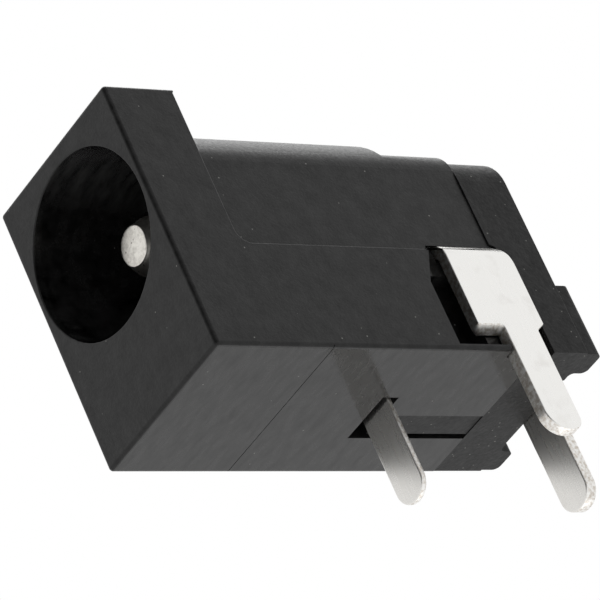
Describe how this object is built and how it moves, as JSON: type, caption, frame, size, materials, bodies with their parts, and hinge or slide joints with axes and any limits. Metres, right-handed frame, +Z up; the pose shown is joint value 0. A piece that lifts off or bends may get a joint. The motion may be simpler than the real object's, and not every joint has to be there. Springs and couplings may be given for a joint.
{
  "type": "dc barrel jack",
  "caption": "Board-mounted barrel jack for a dc plug: square front with a round mouth and centre pin, stepped housing, rear cover and flat solder tails with a side shunt contact.",
  "frame": {"origin": "on the board plane, in the plane of symmetry of the housing, under the front face", "axes": "+X across, towards the side with the shunt contact; +Y from the mouth to the back; +Z up from the board"},
  "size_m": [0.0071, 0.0166, 0.0144],
  "materials": {
    "housing_plastic": "satin moulded",
    "cover_plastic": "fine rough moulded",
    "pin_metal": "nickel plated, satin",
    "tinned_metal": "tin plated, satin"
  },
  "bodies": {
    "root": {"housing": "housing_plastic", "rear_cover": "cover_plastic", "center_pin": "pin_metal", "center_terminal": "tinned_metal", "sleeve_spring": "tinned_metal", "shunt_contact": "tinned_metal"}
  },
  "joints": []
}
